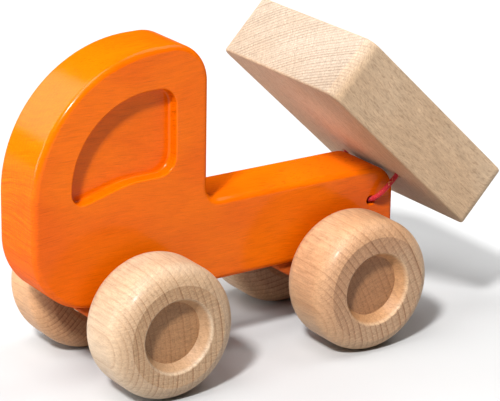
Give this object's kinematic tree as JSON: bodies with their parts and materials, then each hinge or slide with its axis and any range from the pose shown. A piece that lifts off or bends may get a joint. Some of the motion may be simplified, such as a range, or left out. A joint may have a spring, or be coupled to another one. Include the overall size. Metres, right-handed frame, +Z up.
{
  "type": "toy dump truck",
  "caption": "Wooden toy dump truck: one-plank cab and chassis, glued wheel and axle sets, and a routed bed that tips on an elastic cord.",
  "frame": {"origin": "on the ground, below the middle of the bounding box, with the bed tipped as stored", "axes": "+X to the front of the cab, +Y to the truck's left, +Z up"},
  "size_m": [0.2094, 0.0906, 0.1349],
  "materials": {
    "orange_beech": "satin lacquer over orange stain",
    "orange_block": "satin lacquer over orange stain",
    "dowel_beech": "plain",
    "axle_beech": "plain",
    "pale_beech": "waxed, turned",
    "pink_beech": "waxed, turned",
    "bed_beech": "waxed, sanded",
    "red_cord": "braided"
  },
  "bodies": {
    "chassis": {"body": "orange_beech", "front_axle_block": "orange_block", "front_block_dowels": "dowel_beech", "rear_axle_block": "orange_block", "rear_block_dowels": "dowel_beech"},
    "front_wheel_set": {"front_axle": "axle_beech", "front_left_wheel": "pale_beech", "front_right_wheel": "pale_beech"},
    "rear_wheel_set": {"rear_axle": "axle_beech", "rear_left_wheel": "pink_beech", "rear_right_wheel": "pink_beech"},
    "tipping_bed": {"bed": "bed_beech", "hinge_cord": "red_cord", "left_cord_knot": "red_cord", "right_cord_knot": "red_cord"}
  },
  "joints": [
    {"name": "front_wheels_roll", "type": "hinge", "parent": "chassis", "child": "front_wheel_set", "pos_m": [0.0587, 0, 0.028], "axis": [0, 1, 0], "continuous": true},
    {"name": "rear_wheels_roll", "type": "hinge", "parent": "chassis", "child": "rear_wheel_set", "pos_m": [-0.0367, 0, 0.028], "axis": [0, 1, 0], "continuous": true},
    {"name": "bed_tip", "type": "hinge", "parent": "chassis", "child": "tipping_bed", "pos_m": [-0.0553, 0, 0.0535], "axis": [0, -1, 0], "range_deg": [-43.7, 36.3]}
  ]
}
